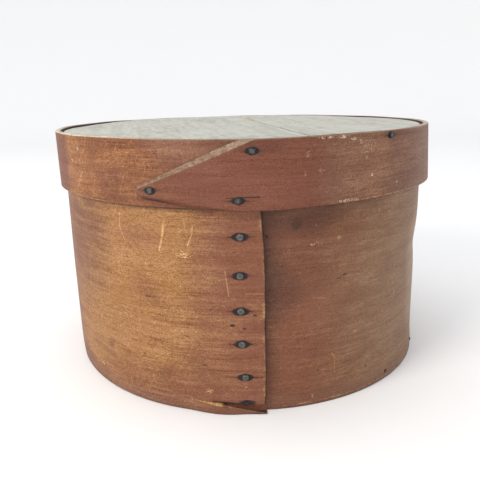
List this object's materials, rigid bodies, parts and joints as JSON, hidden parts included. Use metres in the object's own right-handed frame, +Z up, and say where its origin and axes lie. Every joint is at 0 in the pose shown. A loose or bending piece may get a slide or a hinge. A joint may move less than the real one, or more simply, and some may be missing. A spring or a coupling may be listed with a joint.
{
  "type": "bentwood pantry box",
  "caption": "Round bentwood pantry box: lapped and nailed wooden hoop on a bottom board, with a loose lift-off lid made the same way, for dry goods.",
  "frame": {"origin": "centre of the box's underside, on the surface that it stands on", "axes": "+Z up, -Y to the front where the laps and the row of nails are, +X to the right seen from the front"},
  "size_m": [0.2404, 0.2468, 0.147],
  "materials": {
    "body_wood": "aged satin varnish, golden tan",
    "board_wood": "bare aged softwood",
    "lid_wood": "aged satin varnish, reddish brown",
    "lid_board_wood": "weathered pale grey, matt",
    "nail_iron": "dark worn iron"
  },
  "bodies": {
    "box": {"body_hoop": "body_wood", "bottom_board": "board_wood", "body_lap_nails": "nail_iron", "body_foot_nail": "nail_iron", "bottom_board_nails": "nail_iron"},
    "lid": {"lid_hoop": "lid_wood", "lid_board": "lid_board_wood", "lid_lap_nails": "nail_iron", "lid_lap_board_nail": "nail_iron", "lid_board_nails": "nail_iron"}
  },
  "joints": [
    {"name": "lid_lift", "type": "slide", "parent": "box", "child": "lid", "axis": [0, 0, 1], "range_m": [0, 0.12]}
  ]
}
